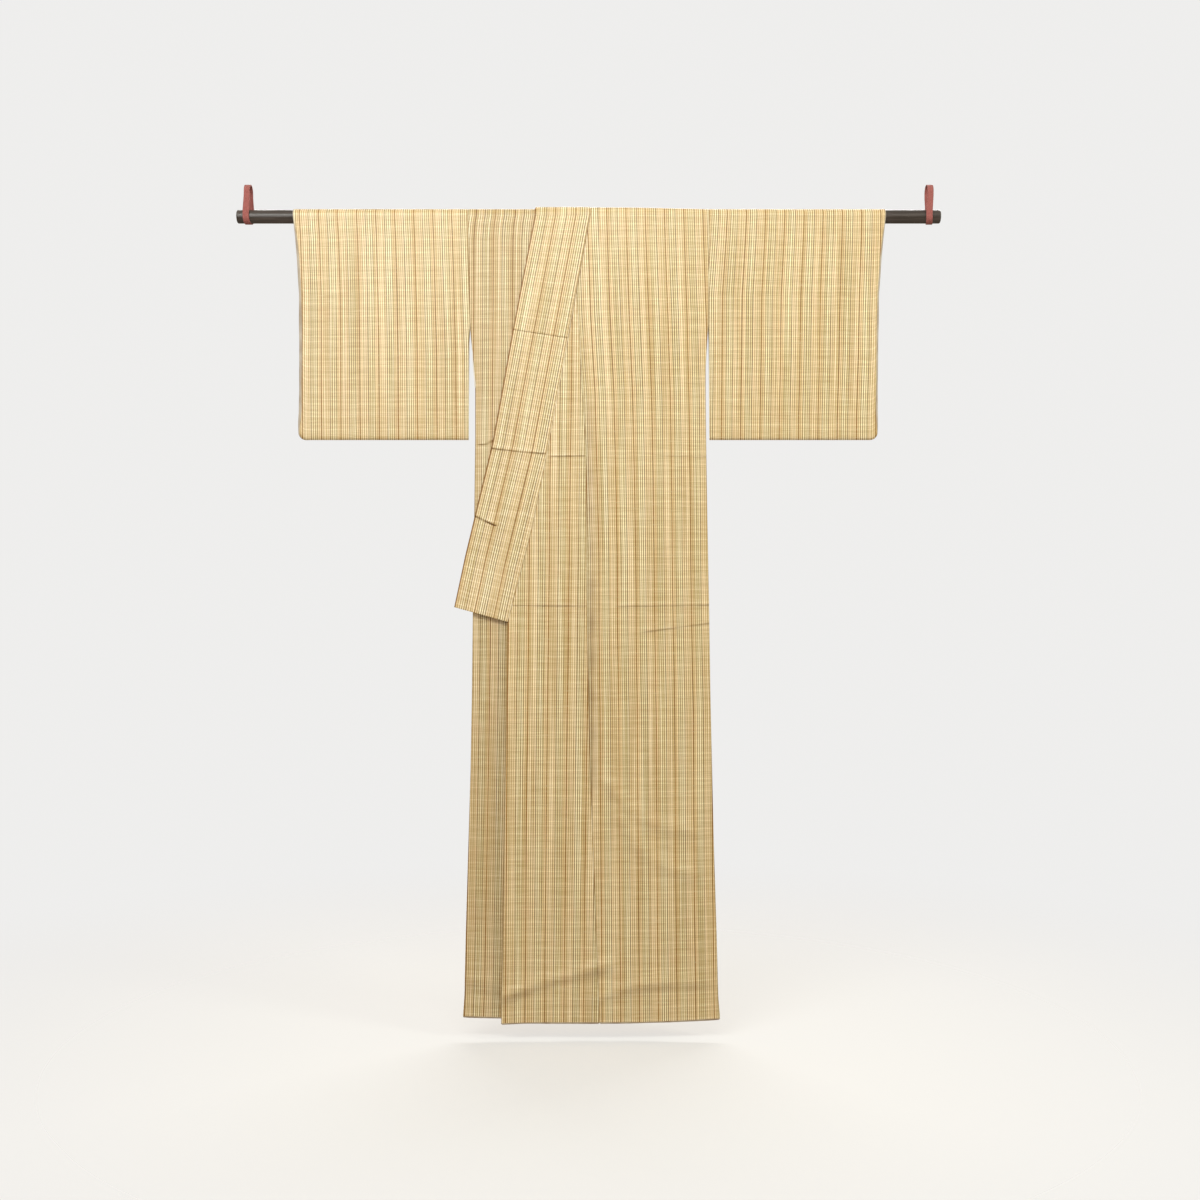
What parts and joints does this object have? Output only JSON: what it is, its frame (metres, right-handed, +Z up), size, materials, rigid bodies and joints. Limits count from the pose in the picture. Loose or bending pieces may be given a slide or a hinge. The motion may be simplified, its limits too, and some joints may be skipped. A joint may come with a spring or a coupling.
{
  "type": "silk kimono on a hanging rod",
  "caption": "Lined silk kimono hung closed over a round lacquered rod, left front over right, wide collar opened out, with strap loops that carry the rod.",
  "frame": {"origin": "middle of the rod's axis, under the garment's neck", "axes": "+Z up, +X towards the wearer's left sleeve along the rod, -Y towards the garment's front"},
  "size_m": [1.41, 0.0398, 1.679],
  "materials": {
    "silk": "striped and checked pongee silk, soft dull sheen",
    "lacquer": "dark brown-black lacquer, glossy",
    "strap": "reddish brown woven tape"
  },
  "bodies": {
    "root": {"rod": "lacquer", "strap_left": "strap", "strap_right": "strap", "body_left_front": "silk", "body_left_shoulder": "silk", "body_left_back": "silk", "body_right_front": "silk", "body_right_shoulder": "silk", "body_right_back": "silk", "okumi_left": "silk", "okumi_right": "silk", "collar_left": "silk", "collar_right": "silk", "over_collar": "silk", "sleeve_left": "silk", "sleeve_right": "silk"}
  },
  "joints": []
}
